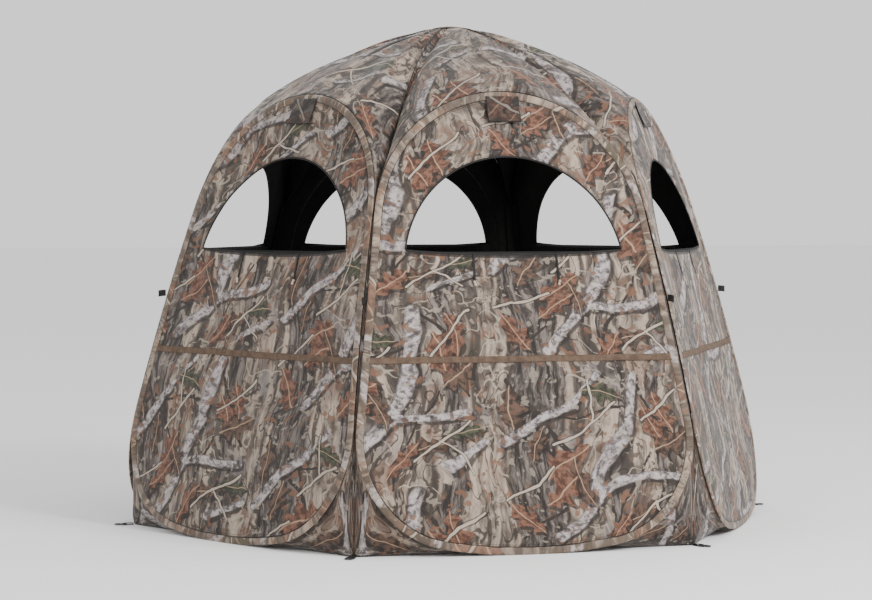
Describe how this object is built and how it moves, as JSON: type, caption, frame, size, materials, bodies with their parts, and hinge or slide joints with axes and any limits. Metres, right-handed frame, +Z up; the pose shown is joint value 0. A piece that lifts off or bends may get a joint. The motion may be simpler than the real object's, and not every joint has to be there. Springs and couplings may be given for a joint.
{
  "type": "pop up ground blind",
  "caption": "Six-sided pop-up ground blind: spring-steel hoop walls in camouflage cloth with arched windows, a domed roof on rods, and a zipped door at the back.",
  "frame": {"origin": "centre of the blind on the ground", "axes": "+Z up; -Y through the front wall, which faces the viewer; +X to the viewer's right, through a corner seam"},
  "size_m": [2.3288, 2.0532, 1.6901],
  "materials": {
    "spring_steel": "oiled spring steel band",
    "ferrule_metal": "crimped",
    "sleeve_cloth": "printed woven polyester",
    "wall_cloth": "printed woven polyester",
    "roof_cloth": "printed woven polyester",
    "lining_cloth": "black coated cloth",
    "black_binding": "woven tape",
    "black_webbing": "woven webbing",
    "brown_webbing": "woven webbing",
    "toggle_plastic": "moulded",
    "black_plastic": "moulded",
    "fibreglass": "pultruded rod",
    "ring_metal": "black coated steel",
    "zip_tape": "woven tape with nylon coil",
    "zip_metal": "black coated die casting"
  },
  "bodies": {
    "blind": {"apex_patch": "roof_cloth", "brush_straps": "brown_webbing", "corner_seams": "lining_cloth", "corner_skirts": "wall_cloth", "frame_zip": "zip_tape", "guy_loops": "black_webbing", "hoop_back": "spring_steel", "hoop_back_left": "spring_steel", "hoop_back_right": "spring_steel", "hoop_ferrules": "ferrule_metal", "hoop_front": "spring_steel", "hoop_front_left": "spring_steel", "hoop_front_right": "spring_steel", "rod_pockets": "black_webbing", "rod_tips": "black_plastic", "roof_gore_back": "roof_cloth", "roof_gore_back_left": "roof_cloth", "roof_gore_back_right": "roof_cloth", "roof_gore_front": "roof_cloth", "roof_gore_front_left": "roof_cloth", "roof_gore_front_right": "roof_cloth", "roof_hub": "black_plastic", "roof_rods": "fibreglass", "sleeve_back": "sleeve_cloth", "sleeve_back_left": "sleeve_cloth", "sleeve_back_right": "sleeve_cloth", "sleeve_front": "sleeve_cloth", "sleeve_front_left": "sleeve_cloth", "sleeve_front_right": "sleeve_cloth", "stake_loops": "black_webbing", "stake_rings": "ring_metal", "tie_toggles": "toggle_plastic", "wall_back": "wall_cloth", "wall_back_left": "wall_cloth", "wall_back_right": "wall_cloth", "wall_front": "wall_cloth", "wall_front_left": "wall_cloth", "wall_front_right": "wall_cloth", "window_bindings": "black_binding", "window_ties": "black_webbing"},
    "top_flap_front_body": {"top_flap_front": "roof_cloth"},
    "top_flap_front_right_body": {"top_flap_front_right": "roof_cloth"},
    "top_flap_back_right_body": {"top_flap_back_right": "roof_cloth"},
    "top_flap_back_body": {"top_flap_back": "roof_cloth"},
    "top_flap_back_left_body": {"top_flap_back_left": "roof_cloth"},
    "top_flap_front_left_body": {"top_flap_front_left": "roof_cloth"},
    "window_cover_front_body": {"window_cover_front": "lining_cloth"},
    "window_cover_front_right_body": {"window_cover_front_right": "lining_cloth"},
    "window_cover_back_right_body": {"window_cover_back_right": "lining_cloth"},
    "window_cover_back_body": {"window_cover_back": "lining_cloth"},
    "window_cover_back_left_body": {"window_cover_back_left": "lining_cloth"},
    "window_cover_front_left_body": {"window_cover_front_left": "lining_cloth"},
    "door": {"door_panel": "wall_cloth", "door_zip": "zip_tape", "door_window_binding": "black_binding", "door_ties": "black_webbing", "door_toggles": "toggle_plastic"},
    "zip_slider_body": {"zip_slider": "zip_metal"},
    "zip_pull_body": {"zip_pull": "zip_metal"}
  },
  "joints": [
    {"name": "door_swing", "type": "hinge", "parent": "blind", "child": "door", "pos_m": [0.43718, 0.88291, 0.66959], "axis": [0.1403, 0.2422, -0.96], "range_deg": [0, 130]},
    {"name": "cover_front_close", "type": "hinge", "parent": "blind", "child": "window_cover_front_body", "pos_m": [0, -0.80148, 0.927], "axis": [1, 0, 0], "range_deg": [0, 163.53]},
    {"name": "cover_front_right_close", "type": "hinge", "parent": "blind", "child": "window_cover_front_right_body", "pos_m": [0.6941, -0.40074, 0.927], "axis": [0.5, 0.866, 0], "range_deg": [0, 163.53]},
    {"name": "cover_back_right_close", "type": "hinge", "parent": "blind", "child": "window_cover_back_right_body", "pos_m": [0.6941, 0.40074, 0.927], "axis": [-0.5, 0.866, 0], "range_deg": [0, 163.53]},
    {"name": "cover_back_close", "type": "hinge", "parent": "door", "child": "window_cover_back_body", "pos_m": [0, 0.80148, 0.927], "axis": [-1, 0, 0], "range_deg": [0, 163.53]},
    {"name": "cover_back_left_close", "type": "hinge", "parent": "blind", "child": "window_cover_back_left_body", "pos_m": [-0.6941, 0.40074, 0.927], "axis": [-0.5, -0.866, 0], "range_deg": [0, 163.53]},
    {"name": "cover_front_left_close", "type": "hinge", "parent": "blind", "child": "window_cover_front_left_body", "pos_m": [-0.6941, -0.40074, 0.927], "axis": [0.5, -0.866, 0], "range_deg": [0, 163.53]},
    {"name": "flap_front_lift", "type": "hinge", "parent": "blind", "child": "top_flap_front_body", "pos_m": [0, -0.66175, 1.42], "axis": [-1, 0, 0], "range_deg": [0, 140]},
    {"name": "flap_front_right_lift", "type": "hinge", "parent": "blind", "child": "top_flap_front_right_body", "pos_m": [0.5731, -0.33088, 1.42], "axis": [-0.5, -0.866, 0], "range_deg": [0, 140]},
    {"name": "flap_back_right_lift", "type": "hinge", "parent": "blind", "child": "top_flap_back_right_body", "pos_m": [0.5731, 0.33088, 1.42], "axis": [0.5, -0.866, 0], "range_deg": [0, 140]},
    {"name": "flap_back_lift", "type": "hinge", "parent": "blind", "child": "top_flap_back_body", "pos_m": [0, 0.66175, 1.42], "axis": [1, 0, 0], "range_deg": [0, 140]},
    {"name": "flap_back_left_lift", "type": "hinge", "parent": "blind", "child": "top_flap_back_left_body", "pos_m": [-0.5731, 0.33088, 1.42], "axis": [0.5, 0.866, 0], "range_deg": [0, 140]},
    {"name": "flap_front_left_lift", "type": "hinge", "parent": "blind", "child": "top_flap_front_left_body", "pos_m": [-0.5731, -0.33088, 1.42], "axis": [-0.5, 0.866, 0], "range_deg": [0, 140]},
    {"name": "zip_slide", "type": "slide", "parent": "door", "child": "zip_slider_body", "axis": [0.1411, -0.2203, 0.9652], "range_m": [0, 0.16]},
    {"name": "zip_pull_lift", "type": "hinge", "parent": "zip_slider_body", "child": "zip_pull_body", "pos_m": [-0.46635, 0.93718, 0.47165], "axis": [0.99, 0.0314, -0.1375], "range_deg": [0, 150]}
  ]
}
